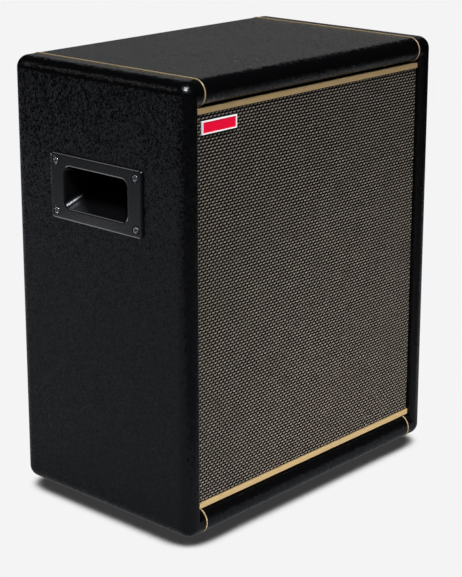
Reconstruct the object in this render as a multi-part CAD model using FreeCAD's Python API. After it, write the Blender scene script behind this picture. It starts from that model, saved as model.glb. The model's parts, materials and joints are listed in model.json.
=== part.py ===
import FreeCAD, Part
import math
import os

V = FreeCAD.Vector

# A powered guitar speaker cabinet, in millimetres. The origin is on the floor under the middle of the
# cabinet, +X is to the right as seen from the front, the front faces -Y, and +Z is up.

# Cabinet body: outer size over the vinyl, boards and rounded edges
body_width = 446.0
body_depth = 282.0
body_height = 530.0
edge_radius = 15.0
vinyl_thickness = 0.8
side_board = 20.0
board = 18.0
rear_board = 15.0
nose_height = 30.0
nose_round = 14.8
cheek_round = 6.4
baffle_setback = 24.0
rear_setback = 18.0
batten = 18.0
panel_gap = 0.5

# Piping in the seams of the vinyl
piping_diameter = 2.0
piping_sink = 0.3
piping_inset = 30.0
piping_tail = 3.0
piping_clearance = 0.05

# Grille: cloth on a frame, two gold bars, a badge
grille_gap = 1.2
cloth_setback = 9.5
cloth_thickness = 1.0
cloth_turn_in = 11.0
grille_bar = 16.0
trim_height = 7.0
trim_thickness = 2.0
trim_edge = 0.5
badge_length = 56.0
badge_height = 15.0
badge_thickness = 2.0
badge_edge = 1.5
badge_recess = 0.6
badge_from_side = 11.4
badge_from_top = 16.6

# Recessed handle in each side
handle_length = 150.0
handle_height = 79.0
handle_plate = 3.0
handle_drop = 144.0
handle_corner = 5.0
handle_round = 2.6
pocket_length = 104.0
pocket_height = 50.0
pocket_corner = 9.0
pocket_floor_corner = 4.0
pocket_depth = 58.0
pocket_taper_length = 34.0
pocket_taper_height = 32.0
pocket_rise = 14.0
pocket_wall = 3.0
pocket_clearance = 1.0
handle_screw_margin_length = 10.0
handle_screw_margin_height = 9.75
handle_dimple_clearance = 0.3
handle_dimple_depth = 1.5
handle_dimple_flare = 1.5

# Cross-head screws: one head, several lengths
screw_head_radius = 4.0
screw_head_height = 2.4
screw_head_round = 1.7
screw_shank_radius = 2.0
screw_clearance = 0.05
screw_cross_length = 4.4
screw_cross_width = 0.9
screw_cross_depth = 1.3
handle_screw_length = 16.0
driver_screw_length = 15.0
panel_screw_length = 26.0
panel_screw_rows = 4
plate_screw_length = 12.0
foot_screw_length = 20.0

# Rubber feet
foot_height = 10.0
foot_radius = 19.0
foot_taper = 2.0
foot_gap = 8.0
foot_inset = 45.0
foot_bore_radius = 6.5
foot_bore_depth = 5.0

# Woofer. Depths run back from the front face of the baffle.
woofer_margin = 3.0
driver_gap = 27.3
woofer_flange = 5.0
woofer_seat = 11.0
woofer_bolt_inset = 6.5
woofer_bolts = 8
rebate_gap = 0.4
gasket_width = 5.2
gasket_height = 4.0
surround_lip = 7.0
surround_width = 14.0
surround_skin = 1.0
surround_rise = 7.0
cone_lip = 4.0
cone_skin = 1.0
cone_depth = 40.0
dust_cap_radius = 38.0
dust_cap_rise = 11.0
dust_cap_skin = 0.8
coil_radius = 24.5
coil_former = 0.8
coil_winding = 0.8
coil_lead_in = 4.0
cone_travel = 5.0
basket_gap = 3.0
basket_wall = 3.0
basket_base = 4.0
basket_cup_radius = 62.0
basket_cup_depth = 20.0
basket_windows = 6
basket_window_angle = 38.0
spider_ledge = 6.0
spider_ledge_height = 2.0
spider_ledge_depth = 12.0
spider_skin = 0.6
spider_waves = 4
spider_wave_height = 1.4
woofer_depth = 76.0
gap_clearance = 0.7
top_plate_radius = 60.0
top_plate = 8.0
magnet_radius = 70.0
magnet_bore = 34.0
magnet_height = 20.0
back_plate_radius = 62.0
back_plate = 8.0
pole_vent_radius = 8.0
terminal_width = 24.0
terminal_depth = 12.0
terminal_height = 15.0

# Tweeter. Depths run back from the front face of the baffle.
tweeter_flange_radius = 60.0
tweeter_flange = 4.0
tweeter_seat = 12.0
tweeter_bolt_inset = 5.5
tweeter_bolts = 4
horn_mouth_radius = 48.0
horn_depth = 22.0
horn_wall = 4.0
horn_back_radius = 38.0
flare_radius_share = 0.3
flare_depth_share = 0.36
dome_radius = 13.0
dome_rise = 7.5
dome_skin = 0.5
dome_lip = 2.0
dome_former = 7.0
dome_clearance = 0.5
motor_radius = 36.0
motor_depth = 26.0

# Ports in the rear panel
port_radius = 30.0
port_wall = 2.5
port_length = 95.0
port_flange = 3.0
port_flange_width = 11.0
port_from_side = 92.0
port_margin = 30.0
port_fit = 0.3

# Amplifier on the rear panel
plate_width = 230.0
plate_height = 170.0
plate_thickness = 2.5
plate_corner = 4.0
plate_border = 14.0
plate_screw_inset = 7.0
chassis_depth = 55.0
chassis_wall = 1.5
chassis_gap = 1.0
stud_radius = 3.0
stud_inset = 12.0
stud_height = 6.5
circuit_board_margin = 6.0
circuit_board_thickness = 1.6
heat_sink_width = 70.0
heat_sink_height = 44.0
heat_sink_base = 4.0
heat_sink_fins = 8
heat_sink_fin = 1.6
heat_sink_fin_height = 12.0
heat_sink_margin_x = 15.0
heat_sink_margin_z = 10.0
transformer_radius = 30.0
transformer_bore = 11.0
transformer_height = 18.0
transformer_round = 5.0
transformer_margin_x = 18.0
transformer_margin_z = 26.0

upper_row_drop = 47.0
lower_row_rise = 50.0
volume_margin = 45.0
jack_pitch = 35.0
jack_count = 2
inlet_margin = 33.0
button_margin = 42.5

bushing_reach = 4.0
nut_height = 2.5
pot_radius = 8.5
pot_depth = 12.0
pot_floor = 2.5
pot_bushing_radius = 3.5
pot_nut_flats = 11.0
shaft_radius = 3.0
shaft_clearance = 0.05
shaft_reach = 12.0
knob_radius = 10.0
knob_top_radius = 8.6
knob_height = 11.0
knob_stand_off = 3.2
knob_skirt_radius = 4.4
knob_skirt_depth = 1.8
knob_flutes = 18
knob_flute_radius = 0.9
knob_pointer = 1.2
jack_body = 16.0
jack_depth = 20.0
jack_floor = 2.5
jack_bore_radius = 3.25
jack_bushing_radius = 4.6
jack_nut_flats = 14.0
hole_clearance = 0.2

button_radius = 4.0
button_reach = 5.0
button_round = 0.6
button_tail = 6.0
button_stem_radius = 2.4
button_stem = 8.0
button_travel = 3.0
button_clearance = 0.3
button_housing = 13.0
button_housing_wall = 2.0

inlet_width = 27.0
inlet_height = 20.0
inlet_flange = 2.0
inlet_flange_width = 2.5
inlet_depth = 24.0
inlet_wall = 1.5
inlet_cavity_depth = 18.0
inlet_bevel = 4.0
pin_width = 2.0
pin_height = 4.0
pin_length = 14.0
pin_spread = 7.0
pin_offset = 2.0

rocker_width = 15.0
rocker_length = 20.0
rocker_end = 3.6
rocker_waist = 2.2
rocker_belly = 6.0
rocker_tilt = 9.0
rocker_pivot_depth = 2.0
rocker_pin_radius = 1.5
rocker_pin_length = 1.2
rocker_side_gap = 0.4
rocker_end_gap = 1.2
rocker_frame_wall = 2.0
rocker_frame_flange = 1.5
rocker_frame_flange_width = 2.0
rocker_frame_depth = 14.0
rocker_frame_floor = 3.0

# Leads inside the cabinet, and soft pads on its side walls
lead_diameter = 3.0
lead_spread = 6.0
lead_bend_share = 0.45
pad_thickness = 25.0
pad_clear = 6.0
soft_gap = 0.3
glue_gap = 0.1

# Places that follow from the sizes above
spare = 20.0
overcut = 2.0
close_enough = 0.001
half_width = body_width / 2
y_front = -body_depth / 2
y_back = body_depth / 2
z_low = foot_height
z_high = foot_height + body_height
z_middle = (z_low + z_high) / 2
core_x = half_width - vinyl_thickness - side_board
opening_x = core_x - vinyl_thickness
opening_low = z_low + nose_height
opening_high = z_high - nose_height
wall = board + 2 * vinyl_thickness
inside_low = z_low + vinyl_thickness + board
inside_high = z_high - vinyl_thickness - board
y_baffle = y_front + baffle_setback
y_baffle_back = y_baffle + board
y_rear = y_back - rear_setback
y_rear_inside = y_rear - rear_board
y_plate = y_rear + plate_thickness
y_chassis = y_rear - chassis_depth
seam_x = half_width - piping_inset
handle_z = z_high - handle_drop
grille_x = opening_x - grille_gap
grille_low = opening_low + grille_gap
grille_high = opening_high - grille_gap
frame_x = grille_x - cloth_thickness
frame_low = grille_low + cloth_thickness
frame_high = grille_high - cloth_thickness
window_low = frame_low + grille_bar
window_high = frame_high - grille_bar
tweeter_z = window_high - driver_gap - tweeter_flange_radius
woofer_top = tweeter_z - tweeter_flange_radius - driver_gap
woofer_flange_radius = (woofer_top - window_low - woofer_margin) / 2
woofer_z = woofer_top - woofer_flange_radius
port_x = core_x - port_from_side
port_z = z_low + wall + port_margin + port_radius + port_flange_width
amp_z = (port_z + port_radius + port_flange_width + z_high - wall) / 2
far_x = (-half_width - spare, half_width + spare)
far_y = (y_front - spare, y_back + spare)
far_z = (z_low - spare, z_high + spare)


def block(x, y, z):
    """Box between three (low, high) pairs."""
    return Part.makeBox(x[1] - x[0], y[1] - y[0], z[1] - z[0], V(x[0], y[0], z[0]))


def about(middle, size):
    """The (low, high) pair of a size set about a middle."""
    return (middle - size / 2, middle + size / 2)


def edges_in(shape, **planes):
    """Edges that lie in all of the named planes, such as x=5."""
    found = []
    for edge in shape.Edges:
        box = edge.BoundBox
        ends = {"x": (box.XMin, box.XMax), "y": (box.YMin, box.YMax), "z": (box.ZMin, box.ZMax)}
        if all(abs(end - value) < close_enough for axis, value in planes.items() for end in ends[axis]):
            found.append(edge)
    return found


def edges_along(shape, axis):
    """Straight edges that run along one axis."""
    found = []
    for edge in shape.Edges:
        way = edge.Vertexes[-1].Point - edge.Vertexes[0].Point
        if way.Length > close_enough and way.cross(axis).Length < close_enough:
            found.append(edge)
    return found


def mirrored_x(shape):
    return shape.mirror(V(0, 0, 0), V(1, 0, 0))


def mirrored_z(shape):
    return shape.mirror(V(0, 0, z_middle), V(0, 0, 1))


def joined(shapes):
    """One solid made of several that meet."""
    return shapes[0].multiFuse(shapes[1:]).removeSplitter()


def one_solid(shape):
    """The single solid that a cut or a common part leaves."""
    if len(shape.Solids) != 1:
        raise ValueError("expected one solid, found %d" % len(shape.Solids))
    return shape.Solids[0]


def outline_face(path):
    """Face of a closed outline: a pair is a corner, a pair of pairs is an arc's middle and end."""
    edges = []
    start = here = V(*path[0])
    for step in path[1:]:
        if isinstance(step[0], tuple):
            middle, end = V(*step[0]), V(*step[1])
            edges.append(Part.Arc(here, middle, end).toShape())
        else:
            end = V(*step)
            edges.append(Part.makeLine(here, end))
        here = end
    if here.distanceToPoint(start) > close_enough:
        edges.append(Part.makeLine(here, start))
    return Part.Face(Part.Wire(edges))


def turned(path, x, y, z, angle=360):
    """Solid turned about a line along Y. The outline is pairs of radius and depth, and depth 0 is at y."""
    solid = outline_face(path).revolve(V(0, 0, 0), V(0, 1, 0), angle)
    if solid.Volume < 0:
        solid.reverse()
    solid.translate(V(x, y, z))
    return solid


def cap_arc(radius, rise, edge_depth):
    """Middle and top of a shallow dome's arc, from its edge to the axis."""
    ball = (radius ** 2 + rise ** 2) / (2 * rise)
    half = math.asin(radius / ball) / 2
    top = edge_depth - rise
    return (ball * math.sin(half), top + ball * (1 - math.cos(half))), (0, top)


def rod_y(radius, x, y, z):
    """Round bar along Y between a (low, high) pair."""
    return Part.makeCylinder(radius, y[1] - y[0], V(x, y[0], z), V(0, 1, 0))


def hexagon_y(flats, x, y, z):
    """Hexagonal bar along Y, with its flats a given distance apart."""
    reach = flats / math.sqrt(3)
    corners = [V(x + reach * math.cos(math.radians(a)), y[0], z + reach * math.sin(math.radians(a)))
               for a in range(0, 360, 60)]
    return Part.Face(Part.makePolygon(corners + corners[:1])).extrude(V(0, y[1] - y[0], 0))


def pan_screw(length):
    """Cross-head screw on the Z axis: its head sits on z = 0 and its shank runs down."""
    head = Part.makeCylinder(screw_head_radius, screw_head_height)
    head = head.makeFillet(screw_head_round, edges_in(head, z=screw_head_height))
    shank = Part.makeCylinder(screw_shank_radius, length, V(0, 0, -length))
    long_way = about(0, screw_cross_length)
    short_way = about(0, screw_cross_width)
    deep = (screw_head_height - screw_cross_depth, screw_head_height + screw_cross_depth)
    cross = block(long_way, short_way, deep).fuse(block(short_way, long_way, deep))
    return joined([head, shank]).cut(cross)


def placed(shape, place, way):
    """Copy of a shape with its origin moved to a place and its +Z turned to a way."""
    copy = shape.copy()
    copy.Placement = FreeCAD.Placement(place, FreeCAD.Rotation(V(0, 0, 1), way))
    return copy


def screws(length, places, way):
    """Screws with their heads seated at the places, facing the given way."""
    screw = pan_screw(length)
    return Part.makeCompound([placed(screw, place, way) for place in places])


def screw_holes(length, places, way):
    """Holes for the shanks of such screws, open on the head's side."""
    radius = screw_shank_radius + screw_clearance
    depth = length + screw_clearance
    hole = Part.makeCylinder(radius, depth + overcut, V(0, 0, -depth))
    return Part.makeCompound([placed(hole, place, way) for place in places])


def ring_places(x, y, z, radius, count, first):
    """Places spaced evenly on a circle that faces along Y."""
    angles = [first + 2 * math.pi * i / count for i in range(count)]
    return [V(x + radius * math.cos(a), y, z + radius * math.sin(a)) for a in angles]


def bent_wire(points, name):
    """Round wire along straight runs, joined by tangent arcs as large as the runs allow."""
    radii = []
    edges = []
    here = points[0]
    for before, corner, after in zip(points, points[1:], points[2:]):
        back = (before - corner).normalize()
        ahead = (after - corner).normalize()
        half_turn = (math.pi - back.getAngle(ahead)) / 2
        reach = lead_bend_share * min(before.distanceToPoint(corner), after.distanceToPoint(corner))
        radius = reach / math.tan(half_turn)
        inward = (back + ahead).normalize()
        middle = corner + inward * (radius / math.cos(half_turn) - radius)
        start, end = corner + back * reach, corner + ahead * reach
        edges.append(Part.makeLine(here, start))
        edges.append(Part.Arc(start, middle, end).toShape())
        radii.append(round(radius, 1))
        here = end
    edges.append(Part.makeLine(here, points[-1]))
    path = Part.Wire(edges)
    ring = Part.Wire([Part.makeCircle(lead_diameter / 2, points[0], points[1] - points[0])])
    tube = path.makePipeShell([ring], True, False)
    expected = math.pi * lead_diameter ** 2 / 4 * path.Length
    print(name, "radii", radii, "length %.1f" % path.Length)
    print(name, "volume over section times length %.4f" % (tube.Volume / expected))
    return tube


# Shell of the cabinet: a tube of four walls, open at the front and the back

def rounded_block(inset):
    """The whole body as a block with rounded edges, taken in by an inset."""
    body = block((-half_width + inset, half_width - inset), (y_front + inset, y_back - inset),
                 (z_low + inset, z_high - inset))
    return body.makeFillet(edge_radius - inset, body.Edges)


def cheek(inset):
    """Right side wall, with its inner front edge rounded."""
    inner = opening_x + inset
    front = y_front + inset
    side = block((inner, far_x[1]), (front, far_y[1]), far_z)
    return side.makeFillet(cheek_round - inset, edges_in(side, x=inner, y=front))


def nose(inset):
    """Top wall, with the deeper rounded nose at its front."""
    low = opening_high + inset
    front = y_front + inset
    bar = block(far_x, (front, y_baffle), (low, far_z[1]))
    bar = bar.makeFillet(nose_round - inset, edges_in(bar, y=front, z=low))
    back = block(far_x, (y_baffle, far_y[1]), (z_high - wall + inset, far_z[1]))
    return bar.fuse(back)


def cabinet_tube(inset):
    """All four walls of the cabinet, taken in from every covered face by an inset."""
    side = cheek(inset)
    top = nose(inset)
    walls = joined([side, mirrored_x(side), top, mirrored_z(top)])
    return rounded_block(inset).common(walls)


def piping_run(radius):
    """Right-hand piping of the top: round the nose, along the top and over the back edge."""
    def at(y, z, reach, angle):
        turn = math.radians(angle)
        return V(seam_x, y + reach * math.cos(turn), z + reach * math.sin(turn))

    def arc(y, z, reach, first, last):
        angles = (first, (first + last) / 2, last)
        return Part.Arc(*[at(y, z, reach, angle) for angle in angles]).toShape()

    low_reach = nose_round - piping_sink
    reach = edge_radius - piping_sink
    low = arc(y_front + nose_round, opening_high + nose_round, low_reach, 270, 180)
    front = arc(y_front + edge_radius, z_high - edge_radius, reach, 180, 90)
    back = arc(y_back - edge_radius, z_high - edge_radius, reach, 90, 0)
    tail_end = V(seam_x, y_back - piping_sink, z_high - edge_radius - piping_tail)
    edges = [low, Part.makeLine(low.Vertexes[-1].Point, front.Vertexes[0].Point), front,
             Part.makeLine(front.Vertexes[-1].Point, back.Vertexes[0].Point), back,
             Part.makeLine(back.Vertexes[-1].Point, tail_end)]
    ring = Part.Wire([Part.makeCircle(radius, low.Vertexes[0].Point, V(0, -1, 0))])
    return Part.Wire(edges).makePipeShell([ring], True, False)


def all_four(shape):
    """A shape at the upper right, with its copies at the other three corners."""
    pair = [shape, mirrored_x(shape)]
    return pair + [mirrored_z(one) for one in pair]


nodes = {}
core = cabinet_tube(vinyl_thickness)
inside = block((-core_x, core_x), (y_baffle, y_rear), (inside_low, inside_high))
skin = cabinet_tube(0).cut(core).cut(inside)
pipings = all_four(piping_run(piping_diameter / 2))
grooves = all_four(piping_run(piping_diameter / 2 + piping_clearance))
nodes["edge_piping"] = Part.makeCompound(pipings)


# Handles

def handle_loop(x, length, height, lift, corner):
    """Rounded rectangle that faces along X, about the handle's middle."""
    y, z = length / 2, height / 2
    middle = handle_z + lift
    edges = []
    corners = [(y - corner, z - corner, 0), (-y + corner, z - corner, 90), (-y + corner, -z + corner, 180),
               (y - corner, -z + corner, 270)]

    def on(spot, angle):
        turn = math.radians(spot[2] + angle)
        return V(x, spot[0] + corner * math.cos(turn), middle + spot[1] + corner * math.sin(turn))

    for spot, following in zip(corners, corners[1:] + corners[:1]):
        edges.append(Part.Arc(on(spot, 0), on(spot, 45), on(spot, 90)).toShape())
        edges.append(Part.makeLine(on(spot, 90), on(following, 0)))
    return Part.Wire(edges)


def pocket_loft(x_mouth, x_floor, grow):
    """Tapering pocket between its mouth and its floor, grown all round for its outer wall."""
    mouth = handle_loop(x_mouth, pocket_length + 2 * grow, pocket_height + 2 * grow, 0, pocket_corner + grow)
    floor = handle_loop(x_floor, pocket_length - pocket_taper_length + 2 * grow,
                        pocket_height - pocket_taper_height + 2 * grow, pocket_rise, pocket_floor_corner + grow)
    return Part.makeLoft([mouth, floor], True, True)


handle_face = half_width + handle_plate
pocket_floor = handle_face - pocket_depth
handle_seat = handle_face - handle_dimple_depth
handle_screw_places = [V(handle_seat, y * (handle_length / 2 - handle_screw_margin_length),
                         handle_z + z * (handle_height / 2 - handle_screw_margin_height))
                       for y in (-1, 1) for z in (-1, 1)]
handle_holes = screw_holes(handle_screw_length, handle_screw_places, V(1, 0, 0))
handle_opening = Part.Face(handle_loop(core_x - spare, pocket_length + 2 * (pocket_wall + pocket_clearance),
                                       pocket_height + 2 * (pocket_wall + pocket_clearance), 0,
                                       pocket_corner + pocket_wall + pocket_clearance))
handle_opening = handle_opening.extrude(V(side_board + 2 * spare, 0, 0))


def right_handle():
    """Flange with a rounded rim and mouth, a tapering finger pocket and a dimple round each screw."""
    pocket = pocket_loft(handle_face, pocket_floor, 0)
    flange = block((half_width, handle_face), about(0, handle_length), about(handle_z, handle_height))
    flange = flange.makeFillet(handle_corner, edges_along(flange, V(1, 0, 0))).cut(pocket)
    flange = flange.makeFillet(handle_round, edges_in(flange, x=handle_face))
    shell = pocket_loft(handle_face, pocket_floor - pocket_wall, pocket_wall)
    shell = shell.common(block((0, half_width), far_y, far_z)).cut(pocket)
    floor_radius = screw_head_radius + handle_dimple_clearance
    dimple = Part.makeCone(floor_radius, floor_radius + handle_dimple_flare, handle_dimple_depth)
    dimples = [placed(dimple, place, V(1, 0, 0)) for place in handle_screw_places]
    return one_solid(flange.fuse(shell).cut(Part.makeCompound(dimples)).cut(handle_holes))


nodes["right_handle"] = right_handle()
nodes["left_handle"] = mirrored_x(nodes["right_handle"])
right_screws = screws(handle_screw_length, handle_screw_places, V(1, 0, 0))
nodes["handle_screws"] = Part.makeCompound(right_screws.Solids + mirrored_x(right_screws).Solids)

# Feet

foot_x = seam_x - piping_diameter / 2 - foot_gap - foot_radius
foot_y = y_back - foot_inset
foot_places = [V(x * foot_x, y * foot_y, foot_bore_depth) for x in (-1, 1) for y in (-1, 1)]
foot_holes = screw_holes(foot_screw_length, foot_places, V(0, 0, -1))
feet = []
for place in foot_places:
    base = V(place.x, place.y, 0)
    foot = Part.makeCone(foot_radius - foot_taper, foot_radius, foot_height, base)
    foot = foot.cut(Part.makeCylinder(foot_bore_radius, foot_bore_depth, base))
    feet.append(one_solid(foot.cut(foot_holes)))
nodes["rubber_feet"] = Part.makeCompound(feet)
nodes["foot_screws"] = screws(foot_screw_length, foot_places, V(0, 0, -1))

# Boards and their vinyl

groove_cut = Part.makeCompound(grooves)
right_side = core.common(block((core_x, far_x[1]), far_y, far_z)).cut(handle_opening).cut(handle_holes)
nodes["right_side_panel"] = one_solid(right_side)
nodes["left_side_panel"] = mirrored_x(nodes["right_side_panel"])
top_panel = core.common(block((-core_x, core_x), far_y, (inside_high, far_z[1])))
nodes["top_panel"] = one_solid(top_panel.cut(groove_cut))
bottom_panel = core.common(block((-core_x, core_x), far_y, (far_z[0], inside_low)))
nodes["bottom_panel"] = one_solid(bottom_panel.cut(groove_cut).cut(foot_holes))
rail = core.common(block((-core_x, core_x), (far_y[0], y_baffle), (z_middle, inside_high)))
rail = one_solid(rail.cut(groove_cut))
nodes["front_rails"] = Part.makeCompound([rail, mirrored_z(rail)])

right_vinyl = skin.common(block((seam_x, far_x[1]), far_y, far_z)).cut(groove_cut)
nodes["right_side_vinyl"] = one_solid(right_vinyl.cut(handle_opening).cut(handle_holes))
nodes["left_side_vinyl"] = mirrored_x(nodes["right_side_vinyl"])
middle_x = (-seam_x, seam_x)
nodes["top_vinyl"] = one_solid(skin.common(block(middle_x, far_y, (z_middle, far_z[1]))).cut(groove_cut))
bottom_vinyl = skin.common(block(middle_x, far_y, (far_z[0], z_middle))).cut(groove_cut)
nodes["bottom_vinyl"] = one_solid(bottom_vinyl.cut(foot_holes))


def batten_frame(y):
    """Four battens round the inside of the cabinet."""
    side_z = (inside_low, inside_high)
    across = (-core_x + batten, core_x - batten)
    return [block((-core_x, -core_x + batten), y, side_z), block((core_x - batten, core_x), y, side_z),
            block(across, y, (inside_low, inside_low + batten)),
            block(across, y, (inside_high - batten, inside_high))]


# Grille, trim bars and badge

y_cloth = y_front + cloth_setback
y_frame = y_cloth + cloth_thickness
frame_z = (frame_low, frame_high)
grille_frame = block((-frame_x, frame_x), (y_frame, y_baffle), frame_z)
grille_hole = block((-frame_x + grille_bar, frame_x - grille_bar), far_y, (window_low, window_high))
nodes["grille_frame"] = grille_frame.cut(grille_hole)
cloth = block((-grille_x, grille_x), (y_cloth, y_frame + cloth_turn_in), (grille_low, grille_high))
nodes["grille_cloth"] = cloth.cut(block((-frame_x, frame_x), (y_frame, y_baffle), frame_z))


def trim_bar(z):
    """Flat bar across the grille with its front edges eased."""
    front = y_cloth - trim_thickness
    bar = block((-grille_x, grille_x), (front, y_cloth), z)
    return bar.makeFillet(trim_edge, edges_in(bar, y=front))


nodes["top_trim_bar"] = trim_bar((grille_high - trim_height, grille_high))
nodes["bottom_trim_bar"] = trim_bar((grille_low, grille_low + trim_height))

badge_x = (-opening_x + badge_from_side, -opening_x + badge_from_side + badge_length)
badge_z = (opening_high - badge_from_top - badge_height, opening_high - badge_from_top)
badge_front = y_cloth - badge_thickness
inlay_x = (badge_x[0] + badge_edge, badge_x[1] - badge_edge)
inlay_z = (badge_z[0] + badge_edge, badge_z[1] - badge_edge)
inlay_back = badge_front + badge_thickness / 2
badge = block(badge_x, (badge_front, y_cloth), badge_z)
nodes["badge_border"] = badge.cut(block(inlay_x, (badge_front, inlay_back), inlay_z))
nodes["badge_plate"] = block(inlay_x, (badge_front + badge_recess, inlay_back), inlay_z)

# Woofer

cutout_radius = woofer_flange_radius - woofer_seat
bolt_radius = woofer_flange_radius - woofer_bolt_inset
gasket_out = bolt_radius - screw_head_radius - hole_clearance
gasket_in = gasket_out - gasket_width
lip_out = gasket_in - soft_gap
landing = lip_out - surround_lip
cone_radius = landing - surround_width
cone_start = cone_radius - cone_lip
former_out = coil_radius + coil_former
neck = former_out + glue_gap
cup_out = basket_cup_radius + basket_wall
cup_front = woofer_depth - basket_cup_depth
slope_out = cutout_radius - basket_gap
ledge_front = woofer_depth - basket_base - spider_ledge_depth
ledge_back = ledge_front + spider_ledge_height
ledge_radius = basket_cup_radius - spider_ledge
coil_out = former_out + coil_winding
plate_bore = coil_out + gap_clearance
plate_back = woofer_depth + top_plate
magnet_back = plate_back + magnet_height
pole_radius = coil_radius - gap_clearance


def woofer_part(path):
    return turned(path, 0, y_baffle, woofer_z)


def woofer_basket():
    """Cast frame: flange, sloping spokes with windows between them, and a cup that holds the motor."""
    solid = woofer_part([
        (landing, 0), (woofer_flange_radius, 0), (woofer_flange_radius, woofer_flange),
        (slope_out, woofer_flange), (cup_out, cup_front), (cup_out, woofer_depth),
        (magnet_bore, woofer_depth), (magnet_bore, woofer_depth - basket_base),
        (basket_cup_radius, woofer_depth - basket_base),
        (basket_cup_radius, ledge_back), (ledge_radius, ledge_back), (ledge_radius, ledge_front),
        (basket_cup_radius, ledge_front), (basket_cup_radius, cup_front),
        (slope_out - basket_wall, woofer_flange), (landing, woofer_flange)])
    window_front = woofer_flange + basket_wall
    window_back = cup_front - basket_wall
    window = turned([(ledge_radius, window_front), (woofer_flange_radius, window_front),
                     (woofer_flange_radius, window_back), (ledge_radius, window_back)],
                    0, y_baffle, woofer_z, basket_window_angle)
    pitch = 360 / basket_windows
    windows = []
    for i in range(basket_windows):
        copy = window.copy()
        copy.rotate(V(0, 0, woofer_z), V(0, 1, 0), i * pitch - basket_window_angle / 2)
        windows.append(copy)
    return one_solid(solid.cut(Part.makeCompound(windows)).cut(woofer_holes))


def woofer_spider():
    """Corrugated disc that centres the voice coil."""
    inner = former_out + soft_gap
    outer = basket_cup_radius - soft_gap
    back = ledge_front - glue_gap
    first = inner + spider_wave_height
    pitch = (ledge_radius - first) / (2 * spider_waves)
    rear = [(inner, back), (first, back)]
    for i in range(1, 2 * spider_waves):
        rear.append((first + i * pitch, back - (spider_wave_height if i % 2 else 0)))
    rear.append((outer, back))
    front = [(radius, depth - spider_skin) for radius, depth in reversed(rear)]
    return woofer_part(rear + front)


woofer_places = ring_places(0, y_baffle, woofer_z, bolt_radius, woofer_bolts, math.pi / woofer_bolts)
woofer_holes = screw_holes(driver_screw_length, woofer_places, V(0, -1, 0))
nodes["woofer_basket"] = woofer_basket()
nodes["woofer_gasket"] = woofer_part([
    (gasket_in, -gasket_height), (gasket_out, -gasket_height), (gasket_out, 0), (gasket_in, 0)])
roll = (landing + cone_radius) / 2
nodes["woofer_surround"] = woofer_part([
    (cone_start, 0), (cone_radius, 0), ((roll, -surround_rise), (landing, 0)), (lip_out, 0),
    (lip_out, -surround_skin), (landing + surround_skin / 2, -surround_skin),
    ((roll, -surround_rise - surround_skin), (cone_radius - surround_skin / 2, -surround_skin)),
    (cone_start, -surround_skin)])
nodes["woofer_cone"] = woofer_part([
    (cone_start, 0), (cone_radius, 0), (cone_radius, cone_skin), (cone_start + cone_skin, cone_skin),
    (neck, cone_depth + cone_skin), (neck, cone_depth)])
cap_edge = cone_depth * (cone_start - dust_cap_radius) / (cone_start - neck) - dust_cap_skin - soft_gap
inner_middle, inner_top = cap_arc(dust_cap_radius, dust_cap_rise, cap_edge + dust_cap_skin)
nodes["woofer_dust_cap"] = woofer_part([
    (dust_cap_radius, cap_edge + dust_cap_skin), (dust_cap_radius, cap_edge),
    cap_arc(dust_cap_radius, dust_cap_rise, cap_edge), inner_top,
    (inner_middle, (dust_cap_radius, cap_edge + dust_cap_skin))])
winding_front = woofer_depth - cone_travel
winding_back = plate_back + cone_travel
nodes["woofer_voice_coil"] = woofer_part([
    (coil_radius, cone_depth - coil_lead_in), (former_out, cone_depth - coil_lead_in),
    (former_out, winding_front), (coil_out, winding_front), (coil_out, winding_back),
    (coil_radius, winding_back)])
nodes["woofer_spider"] = woofer_spider()
nodes["woofer_top_plate"] = woofer_part([
    (plate_bore, woofer_depth), (top_plate_radius, woofer_depth), (top_plate_radius, plate_back),
    (plate_bore, plate_back)])
nodes["woofer_magnet"] = woofer_part([
    (magnet_bore, plate_back), (magnet_radius, plate_back), (magnet_radius, magnet_back),
    (magnet_bore, magnet_back)])
nodes["woofer_pole_piece"] = woofer_part([
    (pole_vent_radius, woofer_depth), (pole_radius, woofer_depth), (pole_radius, magnet_back),
    (back_plate_radius, magnet_back), (back_plate_radius, magnet_back + back_plate),
    (pole_vent_radius, magnet_back + back_plate)])
terminal_y = y_baffle + (cup_front + woofer_depth) / 2
terminal_top = woofer_z + cup_out + terminal_height
terminal = block(about(0, terminal_width), about(terminal_y, terminal_depth), (woofer_z, terminal_top))
nodes["woofer_terminal"] = one_solid(terminal.cut(rod_y(cup_out + screw_clearance, 0, far_y, woofer_z)))

# Tweeter

tweeter_cutout = tweeter_flange_radius - tweeter_seat
dome_front = horn_depth + horn_wall - dome_clearance - dome_skin
former_reach = dome_front + dome_former
throat_radius = dome_radius + dome_lip + dome_clearance
motor_front = horn_depth + horn_wall


def tweeter_part(path):
    return turned(path, 0, y_baffle, tweeter_z)


tweeter_bolt_radius = tweeter_flange_radius - tweeter_bolt_inset
tweeter_places = ring_places(0, y_baffle, tweeter_z, tweeter_bolt_radius, tweeter_bolts,
                             math.pi / tweeter_bolts)
tweeter_holes = screw_holes(driver_screw_length, tweeter_places, V(0, -1, 0))
flare_radius = throat_radius + flare_radius_share * (horn_mouth_radius - throat_radius)
flare_middle = (flare_radius, flare_depth_share * horn_depth)
nodes["tweeter_horn"] = one_solid(tweeter_part([
    (horn_mouth_radius, 0), (tweeter_flange_radius, 0), (tweeter_flange_radius, tweeter_flange),
    (tweeter_cutout - rebate_gap, tweeter_flange), (horn_back_radius, horn_depth),
    (horn_back_radius, motor_front), (throat_radius, motor_front), (throat_radius, horn_depth),
    (flare_middle, (horn_mouth_radius, 0))
    ]).cut(tweeter_holes))
dome_in = dome_radius - dome_skin
dome_back = dome_front + dome_skin
dome_middle, dome_top = cap_arc(dome_in, dome_rise, dome_back)
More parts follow.
